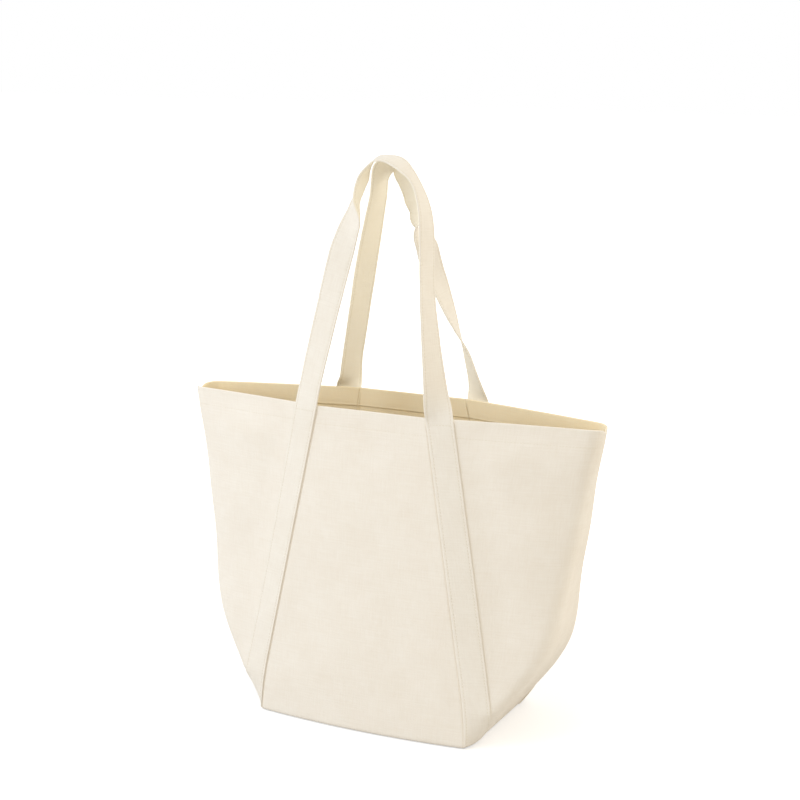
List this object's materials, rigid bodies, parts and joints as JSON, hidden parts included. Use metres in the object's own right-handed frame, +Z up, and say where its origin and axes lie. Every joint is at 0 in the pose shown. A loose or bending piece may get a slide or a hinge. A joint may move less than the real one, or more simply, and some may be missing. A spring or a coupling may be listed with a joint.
{
  "type": "trapeze tote bag",
  "caption": "Open-topped canvas tote that flares from a flat base to a wide rim, with two soft strap handles sewn down the seams.",
  "frame": {"origin": "on the ground under the middle of the bag, at the centre of the base's underside", "axes": "+Z up; +X to the right along the wide rim, seen from the front; -Y towards the front; the two handles stand one at the front and one at the back"},
  "size_m": [0.4942, 0.1784, 0.62],
  "materials": {
    "canvas": "plain-woven unbleached cotton canvas, matt, with a soft nap",
    "base_canvas": "the same canvas under the bag, flat and matt",
    "strap_canvas": "canvas folded to a flat strap, with a row of stitches near each edge"
  },
  "bodies": {
    "bag": {"front_panel": "canvas", "back_panel": "canvas", "left_side_panel": "canvas", "right_side_panel": "canvas", "base_panel": "base_canvas", "front_left_strap": "strap_canvas", "front_right_strap": "strap_canvas", "back_left_strap": "strap_canvas", "back_right_strap": "strap_canvas"},
    "front_loop": {"front_handle": "strap_canvas"},
    "back_loop": {"back_handle": "strap_canvas"}
  },
  "joints": [
    {"name": "front_handle_swing", "type": "hinge", "parent": "bag", "child": "front_loop", "pos_m": [0, -0.057, 0.35], "axis": [1, 0, 0], "range_deg": [0, 170]},
    {"name": "back_handle_swing", "type": "hinge", "parent": "bag", "child": "back_loop", "pos_m": [0, 0.057, 0.35], "axis": [-1, 0, 0], "range_deg": [0, 170]}
  ]
}
